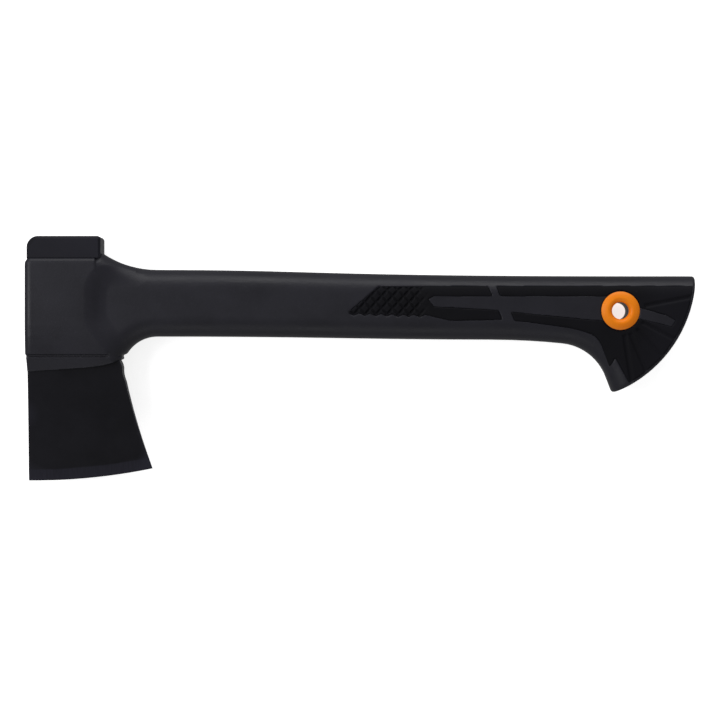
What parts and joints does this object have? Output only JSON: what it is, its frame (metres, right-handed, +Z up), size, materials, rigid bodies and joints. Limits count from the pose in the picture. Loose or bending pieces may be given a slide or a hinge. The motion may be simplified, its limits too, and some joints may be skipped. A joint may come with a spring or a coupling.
{
  "type": "hatchet",
  "caption": "One-hand hatchet: forged head with hammer poll, hollow moulded handle wrapped round it, soft grip pads, hooked pommel and a ringed hanging hole.",
  "frame": {"origin": "centre of the bounding box in X and Y, on the plane the hatchet lies on", "axes": "+X along the handle from head to pommel, +Y from the cutting edge to the poll, +Z up through the thickness, so the hatchet lies on its right side"},
  "size_m": [0.3332, 0.1218, 0.03],
  "materials": {
    "head_steel": "dark low-friction coating over forged and ground steel",
    "handle_moulding": "fine spark-eroded grain",
    "grip_rubber": "matt, knurled",
    "end_plug": "satin",
    "eyelet": "satin orange"
  },
  "bodies": {
    "root": {"axe_head": "head_steel", "handle_shell": "handle_moulding", "fore_grip_left": "grip_rubber", "fore_grip_right": "grip_rubber", "rear_grip_left": "grip_rubber", "rear_grip_right": "grip_rubber", "end_plug": "end_plug", "eyelet_left": "eyelet", "eyelet_right": "eyelet"}
  },
  "joints": []
}
